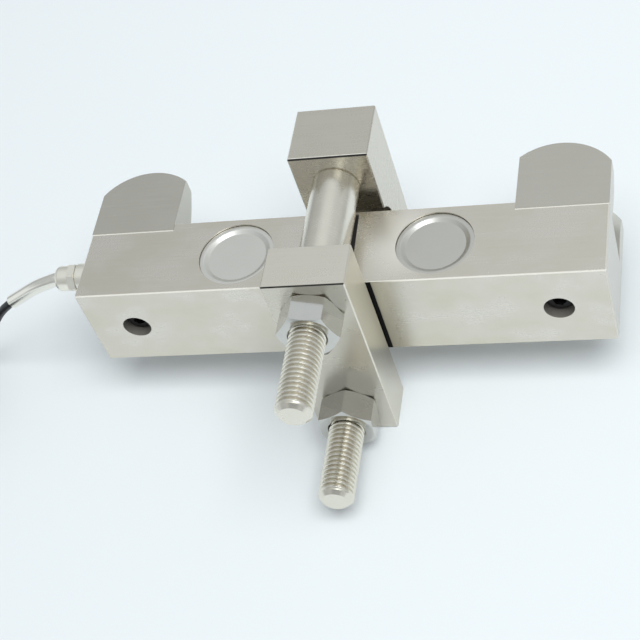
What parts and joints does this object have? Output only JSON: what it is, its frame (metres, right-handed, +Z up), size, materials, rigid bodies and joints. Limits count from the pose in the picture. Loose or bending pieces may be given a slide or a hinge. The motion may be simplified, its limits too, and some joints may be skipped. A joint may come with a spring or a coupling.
{
  "type": "wire rope tension sensor",
  "caption": "Clamp-on wire rope tension sensor: a steel bar with V-grooved rope saddles at its ends, a stud clamp across its middle and a cable from one end.",
  "frame": {"origin": "on the floor, under the middle of the sensor's outline without its cable and gland", "axes": "+X along the bar, away from the cable's end; +Y back, towards the rope; +Z up"},
  "size_m": [0.2874, 0.1478, 0.0775],
  "materials": {
    "plated_steel": "fine ground and nickel plated, warm silver",
    "cover_steel": "pressed stainless sheet, matt",
    "stud_steel": "plated, bright",
    "nut_steel": "polished plating",
    "black_screw": "black oxide with a film of oil",
    "gland_nickel": "nickel plated brass, polished",
    "tube_steel": "bright drawn tube",
    "seal_rubber": "moulded, black",
    "cable_jacket": "smooth black jacket",
    "core_insulation": "thin coloured insulation",
    "tie_nylon": "black nylon",
    "gauge_foil": "amber film with metal foil",
    "board_laminate": "green laminate",
    "lead_insulation": "thin enamel and film"
  },
  "bodies": {
    "root": {"beam_body": "plated_steel", "rope_saddle_left": "plated_steel", "rope_saddle_right": "plated_steel", "saddle_screw_left": "black_screw", "saddle_screw_right": "black_screw", "cover_top_left": "cover_steel", "cover_top_right": "cover_steel", "cover_bottom_left": "cover_steel", "cover_bottom_right": "cover_steel", "gauge_top_left": "gauge_foil", "gauge_top_right": "gauge_foil", "gauge_bottom_left": "gauge_foil", "gauge_bottom_right": "gauge_foil", "bridge_board": "board_laminate", "signal_leads": "lead_insulation", "link_leads": "lead_insulation", "web_leads": "lead_insulation", "clamp_plate": "plated_steel", "clamp_block": "plated_steel", "clamp_stud_upper": "stud_steel", "clamp_stud_lower": "stud_steel", "clamp_nut_upper": "nut_steel", "clamp_nut_lower": "nut_steel", "gland_body": "gland_nickel", "gland_cap_nut": "gland_nickel", "gland_seal": "seal_rubber", "strain_relief_tube": "tube_steel", "cable": "cable_jacket", "cable_coil": "cable_jacket", "cable_tail": "cable_jacket", "cable_cores": "core_insulation", "coil_tie": "tie_nylon"}
  },
  "joints": []
}
